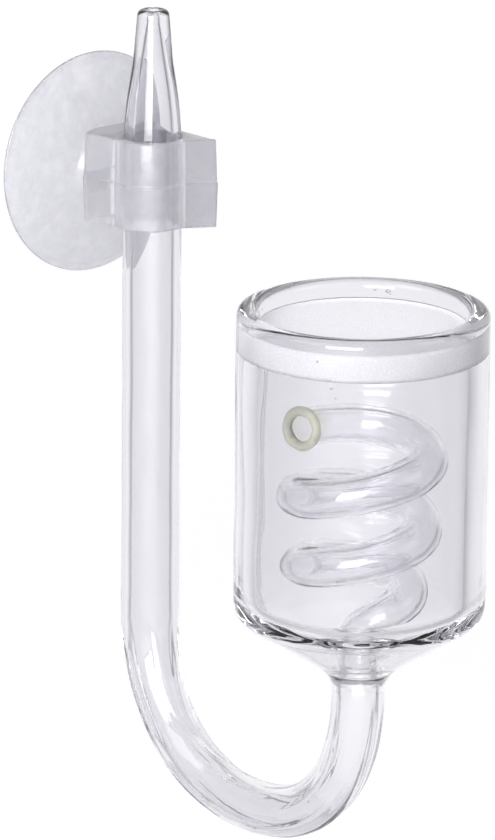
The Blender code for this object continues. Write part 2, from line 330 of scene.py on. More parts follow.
class Graph:
    """A node tree that is built by short calls."""

    def __init__(self, tree: bpy.types.NodeTree) -> None:
        """Start on a tree.

        Args:
            tree: The material's, group's or world's node tree.
        """
        self.tree = tree

    def add(self, kind: str, inputs: dict | None = None, **settings: object) -> bpy.types.Node:
        """Add a node.

        Args:
            kind: Its type, without the ShaderNode in front.
            inputs: Values or sockets for its inputs, by name or number.
            **settings: Its own properties.

        Returns:
            The new node.
        """
        node = self.tree.nodes.new("ShaderNode" + kind)
        for key, value in settings.items():
            setattr(node, key, value)
        for key, value in (inputs or {}).items():
            self.feed(node, key, value)
        return node

    def feed(self, node: bpy.types.Node, key: str | int, value: object) -> None:
        """Link a socket to a node's input, or set the input's value.

        Args:
            node: The node.
            key: The input's name or number.
            value: A socket or a plain value.
        """
        if isinstance(value, bpy.types.NodeSocket):
            self.tree.links.new(value, node.inputs[key])
        else:
            node.inputs[key].default_value = value

    def math(self, operation: str, first: object, second: object = 0.0) -> bpy.types.NodeSocket:
        """The result of a sum of two numbers or sockets."""
        return self.add("Math", {0: first, 1: second}, operation=operation).outputs[0]

    def spread(self, value: object, low: float, high: float, to_low: float,
               to_high: float) -> bpy.types.NodeSocket:
        """Map a value smoothly from one range to another.

        Args:
            value: The socket to map.
            low: Where the old range starts.
            high: Where the old range ends.
            to_low: The result at low and below.
            to_high: The result at high and above.

        Returns:
            The mapped value's socket.
        """
        sockets = {"Value": value, "From Min": low, "From Max": high, "To Min": to_low,
                   "To Max": to_high}
        return self.add("MapRange", sockets, interpolation_type="SMOOTHSTEP").outputs["Result"]

    def blend(self, share: object, first: object, second: object) -> bpy.types.NodeSocket:
        """Mix two colours.

        Args:
            share: How much of the second colour, from 0 to 1.
            first: A colour or a socket.
            second: Another.

        Returns:
            The mixed colour's socket.
        """
        node = self.add("Mix", data_type="RGBA")
        colours = [socket for socket in node.inputs if socket.type == "RGBA"]
        self.feed(node, 0, share)
        for socket, value in zip(colours, (first, second)):
            if isinstance(value, bpy.types.NodeSocket):
                self.tree.links.new(value, socket)
            else:
                socket.default_value = (*value, 1.0)
        return next(socket for socket in node.outputs if socket.type == "RGBA")

    def place(self, group: bpy.types.NodeTree, inputs: dict) -> bpy.types.Node:
        """Add a node group with values of its own.

        Args:
            group: The group.
            inputs: Values or sockets for its inputs, by name.

        Returns:
            The new group node.
        """
        node = self.add("Group", node_tree=group)
        for key, value in inputs.items():
            self.feed(node, key, value)
        return node


class Effects:
    """The surface effects that the finishes share, each made once as a node group."""

    def __init__(self) -> None:
        """Build every shared effect."""
        self.ripple = self.make_ripple()
        self.film = self.make_film()
        self.heat = self.make_heat()
        self.grain = self.make_grain()

    @staticmethod
    def start(name: str, takes: dict[str, Socket], gives: dict[str, Socket]) -> tuple:
        """Start a node group.

        Args:
            name: The effect's name.
            takes: Its inputs.
            gives: Its outputs.

        Returns:
            The group, its graph, its input node and its output node.
        """
        group = bpy.data.node_groups.new(name, "ShaderNodeTree")
        for label, kind in takes.items():
            group.interface.new_socket(label, in_out="INPUT", socket_type=kind.value)
        for label, kind in gives.items():
            group.interface.new_socket(label, in_out="OUTPUT", socket_type=kind.value)
        return (group, Graph(group), group.nodes.new("NodeGroupInput"),
                group.nodes.new("NodeGroupOutput"))

    def make_ripple(self) -> bpy.types.NodeTree:
        """Soft unevenness of worked glass or moulded vinyl, drawn out along one way.

        Returns:
            The node group.
        """
        group, graph, inside, out = self.start(
            "worked_ripple", {"Scale": Socket.NUMBER, "Stretch": Socket.VECTOR},
            {"Height": Socket.NUMBER})
        place = graph.add("TexCoord").outputs["Object"]
        drawn = graph.add("VectorMath", {0: place, 1: inside.outputs["Stretch"]},
                          operation="MULTIPLY").outputs[0]
        wave = graph.add("TexNoise", {"Vector": drawn, "Scale": inside.outputs["Scale"],
                                      "Detail": 1.5, "Roughness": 0.4})
        graph.feed(out, "Height", wave.outputs[0])
        return group

    def make_film(self) -> bpy.types.NodeTree:
        """The faint patchy film that handling and drying leave on a clean surface.

        Returns:
            The node group.
        """
        group, graph, inside, out = self.start(
            "handling_film", {"Scale": Socket.NUMBER, "Cover": Socket.NUMBER},
            {"Mask": Socket.NUMBER})
        place = graph.add("TexCoord").outputs["Object"]
        cloud = graph.add("TexNoise", {"Vector": place, "Scale": inside.outputs["Scale"],
                                       "Detail": 5.0, "Roughness": 0.6}).outputs[0]
        patchy = graph.spread(cloud, 0.42, 0.72, 0.0, 1.0)
        graph.feed(out, "Mask", graph.math("MULTIPLY", patchy, inside.outputs["Cover"]))
        return group

    def make_heat(self) -> bpy.types.NodeTree:
        """A soft round mask about the place where glass was worked in the flame.

        Returns:
            The node group.
        """
        group, graph, inside, out = self.start(
            "flame_mark", {"Centre": Socket.VECTOR, "Reach": Socket.NUMBER,
                           "Core": Socket.NUMBER, "Stretch": Socket.VECTOR},
            {"Mask": Socket.NUMBER})
        place = graph.add("TexCoord").outputs["Object"]
        away = graph.add("VectorMath", {0: place, 1: inside.outputs["Centre"]},
                         operation="SUBTRACT").outputs[0]
        drawn = graph.add("VectorMath", {0: away, 1: inside.outputs["Stretch"]},
                          operation="MULTIPLY").outputs[0]
        length = graph.add("VectorMath", {0: drawn}, operation="LENGTH").outputs["Value"]
        share = graph.math("DIVIDE", length, inside.outputs["Reach"])
        graph.feed(out, "Mask", graph.spread(share, inside.outputs["Core"], 1.0, 1.0, 0.0))
        return group

    def make_grain(self) -> bpy.types.NodeTree:
        """Fine packed grains with pits between them, and painted shade that is darkest in the pits.

        Returns:
            The node group.
        """
        group, graph, inside, out = self.start(
            "packed_grain", {"Scale": Socket.NUMBER}, {"Height": Socket.NUMBER,
                                                       "Shade": Socket.NUMBER})
        place = graph.add("TexCoord").outputs["Object"]
        cells = graph.add("TexVoronoi", {"Vector": place, "Scale": inside.outputs["Scale"]})
        drift = graph.add("TexNoise", {"Vector": place, "Scale": inside.outputs["Scale"],
                                       "Detail": 3.0}).outputs[0]
        domed = graph.math("SUBTRACT", 1.0, cells.outputs["Distance"])
        graph.feed(out, "Height", graph.math("ADD", domed, drift))
        # Painted shade: darkest where the grains dip into the pits between them
        graph.feed(out, "Shade", graph.math("MULTIPLY", domed, drift))
        return group


def new_material(name: str) -> tuple[bpy.types.Material, Graph, bpy.types.Node]:
    """Start a material.

    Args:
        name: Its name.

    Returns:
        The material, its graph and its Principled shader.
    """
    material = bpy.data.materials.new(name)
    material.use_nodes = True
    graph = Graph(material.node_tree)
    return material, graph, material.node_tree.nodes["Principled BSDF"]


@dataclass(frozen=True)
class ClearGlass:
    """Clear borosilicate, drawn and flame-worked.

    Attributes:
        clear: The faint colour that each surface adds.
        thin: The fainter one of the thin-walled spiral.
        body: Tint of the glass itself.
        density: How fast the tint gathers with depth, per metre.
        olive: The colour left where the flame fused the spiral.
        ior: Refractive index.
        ripple: Depth of the drawn unevenness, in metres.
        smoothest: Roughness of bare glass.
        filmed: Roughness where handling film lies.
        film_scale: Patches of film to the metre, roughly.
        ripple_scale: Ripples to the metre, roughly.
        drawn: How the ripples are drawn out along the tubes.
        spiral_reach: How far the thin-walled glass reaches from the spiral's middle, in metres.
        spiral_core: The share of that reach that is wholly thin-walled.
        spiral_stretch: How that region is drawn out upward.
        mark_core: The share of a flame mark that is fully stained.
    """

    clear: tuple[float, float, float] = (0.892, 0.889, 0.908)
    thin: tuple[float, float, float] = (0.955, 0.953, 0.965)
    body: tuple[float, float, float] = (0.500, 0.492, 0.545)
    density: float = 9.0
    olive: tuple[float, float, float] = (0.86, 0.86, 0.76)
    ior: float = 1.47
    ripple: float = 0.00011
    smoothest: float = 0.0
    filmed: float = 0.03
    film_scale: float = 110.0
    ripple_scale: float = 160.0
    drawn: tuple[float, float, float] = (1.0, 1.0, 0.18)
    spiral_reach: float = 0.0162
    spiral_core: float = 0.93
    spiral_stretch: tuple[float, float, float] = (1.0, 1.0, 0.35)
    mark_core: float = 0.3

    def material(self, effects: Effects, spiral_middle: Vector,
                 marks: list[tuple[Vector, float]]) -> bpy.types.Material:
        """Build the material.

        Args:
            effects: The shared effects.
            spiral_middle: The middle of the thin-walled spiral.
            marks: Centre and reach of each flame mark, in metres.

        Returns:
            The new material.
        """
        material, graph, shader = new_material("flame_worked_glass")
        spiral = graph.place(effects.heat, {"Centre": spiral_middle, "Reach": self.spiral_reach,
                                            "Core": self.spiral_core,
                                            "Stretch": self.spiral_stretch})
        colour = graph.blend(spiral.outputs["Mask"], self.clear, self.thin)
        for centre, reach in marks:
            mark = graph.place(effects.heat, {"Centre": centre, "Reach": reach,
                                              "Core": self.mark_core,
                                              "Stretch": (1.0, 1.0, 1.0)})
            colour = graph.blend(mark.outputs["Mask"], colour, self.olive)
        film = graph.place(effects.film, {"Scale": self.film_scale, "Cover": 1.0}).outputs["Mask"]
        ripple = graph.place(effects.ripple, {"Scale": self.ripple_scale, "Stretch": self.drawn})
        bump = graph.add("Bump", {"Strength": 1.0, "Distance": self.ripple,
                                  "Height": ripple.outputs["Height"]})
        graph.feed(shader, "Base Color", colour)
        graph.feed(shader, "Roughness", graph.spread(film, 0.0, 1.0, self.smoothest, self.filmed))
        graph.feed(shader, "Normal", bump.outputs[0])
        shader.inputs["Transmission Weight"].default_value = 1.0
        shader.inputs["IOR"].default_value = self.ior
        depth = graph.add("VolumeAbsorption", {"Color": (*self.body, 1.0),
                                               "Density": self.density})
        output = material.node_tree.nodes["Material Output"]
        graph.feed(output, "Volume", depth.outputs[0])
        return material


@dataclass(frozen=True)
class SoftVinyl:
    """Clear soft PVC with a satin moulded skin.

    Attributes:
        clear: Colour of the clearest patches.
        milky: Colour of the cloudy patches.
        ior: Refractive index.
        transmission: How much of the light goes through rather than scattering back.
        satin: Roughness of the clear patches.
        dull: Roughness of the cloudy ones.
        ripple: Depth of the moulded unevenness, in metres.
        ripple_scale: Waves of it to the metre, roughly.
        cloud_scale: Cloudy patches to the metre, roughly.
        speck_scale: Small cloudy specks to the metre, roughly.
        grain_scale: Grains of the moulded skin to the metre, roughly.
        grain_share: Height of the grain against the ripple.
    """

    clear: tuple[float, float, float] = (0.680, 0.676, 0.715)
    milky: tuple[float, float, float] = (0.830, 0.826, 0.850)
    ior: float = 1.5
    transmission: float = 0.74
    satin: float = 0.14
    dull: float = 0.30
    ripple: float = 0.00010
    ripple_scale: float = 150.0
    cloud_scale: float = 420.0
    speck_scale: float = 1500.0
    grain_scale: float = 2600.0
    grain_share: float = 0.03

    def material(self, effects: Effects) -> bpy.types.Material:
        """Build the material.

        Args:
            effects: The shared effects.

        Returns:
            The new material.
        """
        material, graph, shader = new_material("satin_clear_pvc")
        cloud = graph.place(effects.film, {"Scale": self.cloud_scale, "Cover": 0.6})
        speck = graph.place(effects.film, {"Scale": self.speck_scale, "Cover": 0.5})
        film = graph.math("MAXIMUM", cloud.outputs["Mask"], speck.outputs["Mask"])
        ripple = graph.place(effects.ripple, {"Scale": self.ripple_scale,
                                              "Stretch": (1.0, 1.0, 0.5)})
        grain = graph.place(effects.grain, {"Scale": self.grain_scale})
        fine = graph.math("MULTIPLY", grain.outputs["Height"], self.grain_share)
        height = graph.math("ADD", ripple.outputs["Height"], fine)
        bump = graph.add("Bump", {"Strength": 0.8, "Distance": self.ripple, "Height": height})
        graph.feed(shader, "Base Color", graph.blend(film, self.clear, self.milky))
        graph.feed(shader, "Roughness", graph.spread(film, 0.0, 1.0, self.satin, self.dull))
        graph.feed(shader, "Normal", bump.outputs[0])
        shader.inputs["Transmission Weight"].default_value = self.transmission
        shader.inputs["IOR"].default_value = self.ior
        return material


@dataclass(frozen=True)
class SinteredGlass:
    """White sintered glass powder, dull and finely grained, with painted shade in the pits between the
    grains.

    Attributes:
        bright: Colour of the grains.
        shaded: Painted shade between the grains, also the colour of the greyer film patches.
        roughness: Roughness of the surface.
        grain: Height of the grains, in metres.
        grain_scale: Grains to the metre, roughly.
        film_scale: Greyer patches to the metre, roughly.
    """

    bright: tuple[float, float, float] = (0.975, 0.970, 0.980)
    shaded: tuple[float, float, float] = (0.86, 0.855, 0.885)
    roughness: float = 0.85
    grain: float = 0.00008
    grain_scale: float = 3200.0
    film_scale: float = 90.0

    def material(self, effects: Effects) -> bpy.types.Material:
        """Build the material.

        Args:
            effects: The shared effects.

        Returns:
            The new material.
        """
        material, graph, shader = new_material("white_sintered_glass")
        grain = graph.place(effects.grain, {"Scale": self.grain_scale})
        film = graph.place(effects.film, {"Scale": self.film_scale, "Cover": 0.6}).outputs["Mask"]
        # Painted shade in the pits between the grains, joined with the real greyer film patches
        shade = graph.spread(grain.outputs["Shade"], 0.15, 0.6, 1.0, 0.0)
        shade = graph.math("MAXIMUM", shade, film)
        bump = graph.add("Bump", {"Strength": 0.7, "Distance": self.grain,
                                  "Height": grain.outputs["Height"]})
        graph.feed(shader, "Base Color", graph.blend(shade, self.bright, self.shaded))
        graph.feed(shader, "Normal", bump.outputs[0])
        shader.inputs["Roughness"].default_value = self.roughness
        return material


# ---------------------------------------------------------------------------------------------
# Glassware
# ---------------------------------------------------------------------------------------------


@dataclass
class Spiral:
    """The gas spiral's centre line: a foot on the cup's floor that winds out into a helix.

    Lengths and heights are in metres, and angles are about the cup's axis, in radians.

    Attributes:
        axis_y: Where the cup's axis stands.
        tube_radius: Outer radius of the spiral's tube.
        bore_radius: Its bore.
        mouth_radius: The bore at the fire-polished open end.
        foot_radius: The winding's radius where the foot becomes the helix.
        top_radius: The winding's radius at the open end.
        pitch: Rise in each turn.
        foot_z: Height of the foot, on the cup's floor.
        foot_stub: Length of the upright start of the foot.
        foot_turn_in: How late the foot swings outward.
        foot_dive: How late the foot climbs.
        foot_angle: Where the foot starts.
        full_angle: Where the foot becomes the helix.
        full_z: Height there.
        lean_angle: The side on which the whole spiral leans up.
        lean: How far it leans up there.
        level_angle: Where the last stretch begins to level off.
        level_drop: How far the open end is below a true helix.
        top_angle: Where the open end is.
        points_per_turn: Points of the centre line in each turn.
    """

    axis_y: float
    tube_radius: float = 0.0033
    bore_radius: float = 0.0023
    mouth_radius: float = 0.0022
    foot_radius: float = 0.0092
    top_radius: float = 0.0108
    pitch: float = 0.0114
    foot_z: float = -0.0660
    foot_stub: float = 0.0008
    foot_turn_in: float = 1.6
    foot_dive: float = 2.5
    foot_angle: float = math.radians(-140)
    full_angle: float = math.radians(49)
    full_z: float = -0.0541
    lean_angle: float = math.radians(320)
    lean: float = 0.0005
    level_angle: float = math.radians(680)
    level_drop: float = 0.0012
    top_angle: float = math.radians(832)
    points_per_turn: int = 56

    def point(self, angle: float) -> Vector:
        """A point of the centre line.

        Args:
            angle: The angle about the cup's axis, in radians.

        Returns:
            The point, in metres.
        """
        rise = self.pitch / math.tau
        height = self.full_z + rise * (angle - self.full_angle)
        if angle < self.full_angle:
            foot_turn = self.full_angle - self.foot_angle
            inward = (self.full_angle - angle) / foot_turn
            drop = self.full_z - rise * foot_turn - self.foot_z - self.foot_stub
            outward = 1.0 - inward ** self.foot_turn_in
            radius = self.foot_radius * outward ** 2 * (3.0 - 2.0 * outward)
            height -= drop * inward ** self.foot_dive
        else:
            share = (angle - self.full_angle) / (self.top_angle - self.full_angle)
            radius = self.foot_radius + (self.top_radius - self.foot_radius) * share
        if angle > self.level_angle:
            share = (angle - self.level_angle) / (self.top_angle - self.level_angle)
            height -= self.level_drop * share ** 2
        height += self.lean * math.cos(angle - self.lean_angle) * radius / self.top_radius
        return Vector((radius * math.cos(angle), self.axis_y + radius * math.sin(angle), height))

    def path(self) -> list[Vector]:
        """Draw the whole centre line.

        Returns:
            Its points, from the cup's floor to the open end.
        """
        turning = self.top_angle - self.foot_angle
        count = math.ceil(self.points_per_turn * turning / math.tau)
        foot = Vector((0.0, self.axis_y, self.foot_z))
        return [foot] + [self.point(self.foot_angle + turning * i / count)
                         for i in range(count + 1)]


@dataclass(frozen=True)
class Seed:
    """A small bubble left in the cup's wall.

    Attributes:
        angle: Where it lies about the cup's axis, in degrees.
        height: Its height in metres.
        size: Its radius in metres.
    """

    angle: float
    height: float
    size: float


@dataclass
class FusedGlass:
    """All the blown glass as the one fused piece that it is.

    The skin is a single closed surface. It runs down the outside of the nozzle and the stem, round
    the return bend, up the outside of the cup, over the rim, down to the cup's floor, up the
    outside of the spiral, back down the spiral's bore and along the gas bore to the nozzle's tip.

    Attributes:
        effects: The shared surface effects.
        around: Points on each ring.
        unevenness: How far hand-worked glass wanders from a true ring, in metres.
        draw_lines: Depth of the lengthwise lines drawn into the return bend, in metres.
        longest_step: Longest stretch between two rings on a straight tube, in metres.
        stem_wall: Wall of the stem.
        shoulder_top_z: Height where the nozzle's shoulder begins.
        shoulder_radius: The nozzle's radius there.
        tip_radius: Radius of the nozzle's tip.
        tip_rounding: Rounding of the fire-polished tip.
        tip_bore_radius: The bore at the tip.
        tip_bore_length: How deep the narrow bore goes.
        shoulder_bore_radius: The bore where the shoulder begins.
        bore_lip: Rounding of the bore's edge at the tip.
        bend_top_z: Height where the return bend begins.
        bend_radius: Radius of the bend's tube.
        bend_wall: Its wall.
        bend_squareness: How far the bend is squarer than a half circle, as a share.
        bend_slimming: The share of the bend in which the stem slims to the bend's tube.
        bend_steps: Rings along the bend.
        cup_wall: Wall of the cup.
        rim_rounding: Rounding of the cup's fire-polished rim.
        neck_profile: Radius and height of the flare from the neck to the cone.
        cone_profile: Radius and height of the cone's corners, up to the cup's wall.
        cone_fillet: Rounding of those corners.
        wall_foot_z: Height where the cup's straight wall begins.
        wall_start: Length of the wall that is drawn with the cone.
        inner_foot: Upper and lower height of the last straight stretch of the cup's bore.
        floor_corner: Radius and height of the corner of the cup's floor.
        floor_fillet: Rounding of the floor's corners.
        floor_hole_z: Height of the gas hole's lower edge.
        foot_fillet: Width of the glass drawn up round the spiral's foot.
        polished_rings: Rings of the spiral's bore that narrow to its mouth.
        spiral_middle_z: Height of the middle of the spiral.
        end_mark_reach: Reach of the flame mark at the spiral's open end.
        foot_mark: Offset from the cup's axis, and height, of the flame mark at the spiral's foot.
        foot_mark_reach: Its reach.
        stands_for: The nodes that the piece takes the place of.
        seeds: The small bubbles in the cup's wall.
        seed_stretch: How each bubble is drawn out, across the wall, round it and up it.
        spiral: The spiral inside the cup.
    """

    effects: Effects
    around: int = 96
    unevenness: float = 0.00012
    draw_lines: float = 0.00046
    longest_step: float = 0.0016

    stem_wall: float = 0.0016
    shoulder_top_z: float = 0.0193
    shoulder_radius: float = 0.00335
    tip_radius: float = 0.00265
    tip_rounding: float = 0.0009
    tip_bore_radius: float = 0.00088
    tip_bore_length: float = 0.0020
    shoulder_bore_radius: float = 0.00185
    bore_lip: float = 0.0002

    bend_top_z: float = -0.0734
    bend_radius: float = 0.0044
    bend_wall: float = 0.0015
    bend_squareness: float = 0.028
    bend_slimming: float = 0.25
    bend_steps: int = 72

    cup_wall: float = 0.0034
    rim_rounding: float = 0.0013
    neck_profile: Outline = (
        (0.0046, -0.0712), (0.0051, -0.0702), (0.0062, -0.0691), (0.0080, -0.0679))
    cone_profile: Outline = ((0.0186, -0.0609), (0.0197, -0.0596))
    cone_fillet: float = 0.0010
    wall_foot_z: float = -0.0580
    wall_start: float = 0.0020
    inner_foot: tuple[float, float] = (-0.0550, -0.0575)
    floor_corner: tuple[float, float] = (0.0150, -0.0592)
    floor_fillet: float = 0.0011
    floor_hole_z: float = -0.0680
    foot_fillet: float = 0.0013
    polished_rings: int = 8

    spiral_middle_z: float = -0.0500
    end_mark_reach: float = 0.0060
    foot_mark: tuple[float, float, float] = (0.0026, -0.0048, -0.0640)
    foot_mark_reach: float = 0.0042

    stands_for: tuple[str, ...] = ("inlet_nozzle", "stem_tube", "return_bend", "cup_base",
                                   "cup_wall", "spiral_tube")
    seeds: tuple[Seed, ...] = (
        Seed(43.0, -0.0121, 0.00016), Seed(36.0, -0.0122, 0.00030), Seed(34.5, -0.0126, 0.00012),
        Seed(118.0, -0.0124, 0.00013), Seed(207.0, -0.0140, 0.00014), Seed(214.0, -0.0181, 0.00017),
        Seed(216.0, -0.0196, 0.00011), Seed(292.0, -0.0122, 0.00014), Seed(338.0, -0.0133, 0.00016),
    )
    seed_stretch: tuple[float, float, float] = (0.8, 1.5, 1.0)
    spiral: Spiral = field(init=False)

    def __post_init__(self) -> None:
        """Take the sizes that the frame holds."""
        nozzle_low, nozzle_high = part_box("inlet_nozzle")
        stem_low, stem_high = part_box("stem_tube")
        cup_low, cup_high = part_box("cup_wall")
        base_low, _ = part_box("cup_base")
        self.stem_y = (stem_low[1] + stem_high[1]) / 2
        self.stem_radius = (stem_high[0] - stem_low[0]) / 2
        self.nozzle_base_z = nozzle_low[2]
        self.nozzle_top_z = nozzle_high[2]
        self.cup_y = (cup_low[1] + cup_high[1]) / 2
        self.cup_radius = (cup_high[0] - cup_low[0]) / 2
        self.rim_z = cup_high[2]
        self.neck_z = base_low[2]
        self.spiral = Spiral(self.cup_y)

    def shoulder(self, top_radius: float, foot_radius: float,
                 steps: int) -> list[tuple[float, float]]:
        """The nozzle's shoulder: a quarter wave that swells out to the stem's size.

        Args:
            top_radius: Radius where it starts.
            foot_radius: Radius where it meets the stem.
            steps: Straight pieces in it.

        Returns:
            Radius and height of each point below the first.
        """
        points = []
        drop = self.shoulder_top_z - self.nozzle_base_z
        for step in range(1, steps + 1):
            swell = math.sin(step / steps * math.pi / 2)
            points.append((top_radius + (foot_radius - top_radius) * swell,
                           self.shoulder_top_z - drop * step / steps))
        return points

    def stem_outside(self) -> list[Hoop]:
        """Draw the outside of the nozzle and the stem.

        Returns:
            Its rings, from the top down.
        """
        middle = self.tip_radius - self.tip_rounding
        tip = arc((middle, self.nozzle_top_z - self.tip_rounding), self.tip_rounding, 90, 0, 8)
        profile = [(self.tip_bore_radius + self.bore_lip, self.nozzle_top_z)] + tip
        profile += [(self.shoulder_radius, self.shoulder_top_z)]
        profile += self.shoulder(self.shoulder_radius, self.stem_radius, 16)
        profile.append((self.stem_radius, self.bend_top_z + self.longest_step))
        return self.stem_hoops(divided([Vector(point) for point in profile], self.longest_step))

    def stem_bore(self) -> list[Hoop]:
        """Draw the bore of the stem and the nozzle.

        Returns:
            Its rings, from the bend up to the nozzle's tip.
        """
        bore_radius = self.stem_radius - self.stem_wall
        narrow = self.shoulder(self.shoulder_bore_radius, bore_radius, 14)
        throat_z = self.nozzle_top_z - self.tip_bore_length
        profile = [(bore_radius, self.bend_top_z + self.longest_step)] + narrow[::-1]
        profile += [(self.shoulder_bore_radius, self.shoulder_top_z),
                    (self.tip_bore_radius, throat_z),
                    (self.tip_bore_radius, self.nozzle_top_z - self.bore_lip)]
        return self.stem_hoops(divided([Vector(point) for point in profile], self.longest_step))

    def stem_hoops(self, profile: list[Vector]) -> list[Hoop]:
        """Rings about the stem's axis, turned the way that the return bend starts."""
        return turned_hoops(Vector((0, self.stem_y, 0)), UP, RIGHT, Vector((0, -1, 0)), profile)

    def cup_hoops(self, profile: list[Vector]) -> list[Hoop]:
        """Rings about the cup's axis, turned the way that the return bend ends."""
        return turned_hoops(Vector((0, self.cup_y, 0)), UP, RIGHT, Vector((0, 1, 0)), profile)

    def bend(self, outside: bool) -> list[Hoop]:
        """Rings round the return bend, from the stem to the cup.

        Args:
            outside: Whether they lie on the tube's outside or on its bore.

        Returns:
            The rings in order.
        """
        reach = (self.stem_y - self.cup_y) / 2
        middle = (self.stem_y + self.cup_y) / 2
        slimming = self.stem_radius - self.bend_radius
        path = []
        radii = []
        for step in range(self.bend_steps + 1):
            share = step / self.bend_steps
            angle = math.pi * share
            out = reach * (1.0 + self.bend_squareness * math.sin(2 * angle) ** 2)
            path.append(Vector((0, middle + out * math.cos(angle),
                                self.bend_top_z - out * math.sin(angle))))
            radius = self.bend_radius + slimming * max(0.0, 1.0 - share / self.bend_slimming) ** 2
            radii.append(radius if outside else radius - self.bend_wall)
        return swept_hoops(path, radii, RIGHT, self.draw_lines)

    def cup_outside(self) -> list[Hoop]:
        """Draw the neck, the cone and the cup, over the rim and down to the cup's floor.

        Returns:
            The rings in that order.
        """
        radius = self.cup_radius
        inside = radius - self.cup_wall
        top = self.rim_z - self.rim_rounding
        cone = filleted([(self.bend_radius, self.neck_z), *self.neck_profile,
                         *self.cone_profile, (radius, self.wall_foot_z),
                         (radius, self.wall_foot_z + self.wall_start)], self.cone_fillet)
        rim = arc((radius - self.rim_rounding, top), self.rim_rounding, 0, 90, 10)
        rim += arc((inside + self.rim_rounding, top), self.rim_rounding, 90, 180, 10)
        floor = filleted([(inside, self.inner_foot[0]), (inside, self.inner_foot[1]),
                          self.floor_corner,
                          (self.spiral.tube_radius + self.foot_fillet, self.floor_z()),
                          (self.spiral.tube_radius, self.spiral.foot_z)], self.floor_fillet)
        profile = cone + [Vector(point) for point in rim] + floor
        return self.cup_hoops(divided(profile, self.longest_step))

    def floor_z(self) -> float:
        """Find the cup's sloping floor where the spiral's foot leaves it.

        Returns:
            Its height there, in metres.
        """
        hole = self.bend_radius - self.bend_wall
        slope = (self.floor_corner[1] - self.floor_hole_z) / (self.floor_corner[0] - hole)
        return self.floor_hole_z + slope * (self.spiral.tube_radius + self.foot_fillet - hole)

    def spiral_skin(self) -> list[Hoop]:
        """Draw the outside of the spiral, its rounded mouth and its bore.

        Returns:
            The rings, up the outside and back down the bore.
        """
        spiral = self.spiral
        path = spiral.path()
        outside = swept_hoops(path, [spiral.tube_radius] * len(path), RIGHT)
        wall = spiral.tube_radius - spiral.mouth_radius
        last = outside[-1]
        ahead = last.across.cross(last.beside)
        lip = []
        for along, out in arc((0.0, 0.0), wall / 2, 90, -90, 12):
            centre = last.centre + ahead * along
            radius = spiral.mouth_radius + wall / 2 + out
            lip.append(Hoop(centre, last.across, last.beside, radius))
        bore = []
        for index, hoop in enumerate(outside[:-1]):
            narrowed = max(0.0, 1.0 - (len(outside) - 1 - index) / self.polished_rings)
            radius = spiral.bore_radius + (spiral.mouth_radius - spiral.bore_radius) * narrowed
            bore.append(hoop.resized(radius))
        return outside[:-1] + lip + bore[::-1]

    def add_seeds(self, mesh: bpy.types.Mesh) -> None:
        """Leave the small bubbles inside the cup's wall, as closed hollows that face inward.

        Args:
            mesh: The fused glass, which the bubbles are added to.
        """
        shape = bmesh.new()
        middle = self.cup_radius - self.cup_wall / 2
        for seed in self.seeds:
            turn = math.radians(seed.angle)
            place = Vector((middle * math.cos(turn), self.cup_y + middle * math.sin(turn),
                            seed.height))
            drawn = Matrix.LocRotScale(place, Quaternion((0, 0, 1), turn),
                                       Vector(self.seed_stretch) * seed.size)
            bmesh.ops.create_icosphere(shape, subdivisions=3, radius=1.0, matrix=drawn)
        bmesh.ops.reverse_faces(shape, faces=shape.faces)
        for face in shape.faces:
            face.smooth = True
        shape.from_mesh(mesh)
        shape.to_mesh(mesh)
        shape.free()

    def build(self) -> bpy.types.Object:
        """Build and dress the piece.

        Returns:
            The fused glass.
        """
        throat = self.cup_hoops([Vector((self.bend_radius - self.bend_wall, self.floor_hole_z))])
        hoops = self.stem_outside() + self.bend(True)[1:-1] + self.cup_outside()[:-1]
        hoops += self.spiral_skin() + throat + self.bend(False)[::-1] + self.stem_bore()[1:]
        piece = skin("fused_glassware", hoops, self.around, True, self.unevenness)
        self.add_seeds(piece.data)
        spiral_middle = Vector((0, self.cup_y, self.spiral_middle_z))
        foot_mark = Vector(self.foot_mark) + Vector((0, self.cup_y, 0))
        marks = [(self.spiral.path()[-1], self.end_mark_reach), (foot_mark, self.foot_mark_reach)]
        material = ClearGlass().material(self.effects, spiral_middle, marks)
        piece.data.materials.append(material)
        declare(piece, Body.GLASSWARE, self.stands_for)
        return piece


@dataclass(frozen=True)
class GroundGlass:
    """Glass that was cut, ground and half melted again: cloudy, with a flame's olive stain.

    Attributes:
        stain: Its colour where it is stained most.
        pale: Its colour elsewhere.
        roughness: Roughness of the ground skin.
        transmission: How much of the light goes through.
        ior: Refractive index.
        film_scale: Paler patches to the metre, roughly.
        grain_scale: Grains to the metre, roughly.
        grain: Height of the grains, in metres.
    """

    stain: tuple[float, float, float] = (0.93, 0.93, 0.74)
    pale: tuple[float, float, float] = (0.97, 0.97, 0.90)
    roughness: float = 0.24
    transmission: float = 0.40
    ior: float = 1.47
    film_scale: float = 520.0
    grain_scale: float = 4200.0
    grain: float = 0.00005

    def material(self, effects: Effects) -> bpy.types.Material:
        """Build the material.

        Args:
            effects: The shared effects.

        Returns:
            The new material.
        """
        material, graph, shader = new_material("ground_glass_end")
        film = graph.place(effects.film, {"Scale": self.film_scale, "Cover": 1.0}).outputs["Mask"]
        grain = graph.place(effects.grain, {"Scale": self.grain_scale})
        bump = graph.add("Bump", {"Strength": 0.4, "Distance": self.grain,
                                  "Height": grain.outputs["Height"]})
        graph.feed(shader, "Base Color", graph.blend(film, self.stain, self.pale))
        graph.feed(shader, "Normal", bump.outputs[0])
        shader.inputs["Roughness"].default_value = self.roughness
        shader.inputs["Transmission Weight"].default_value = self.transmission
        shader.inputs["IOR"].default_value = self.ior
        return material


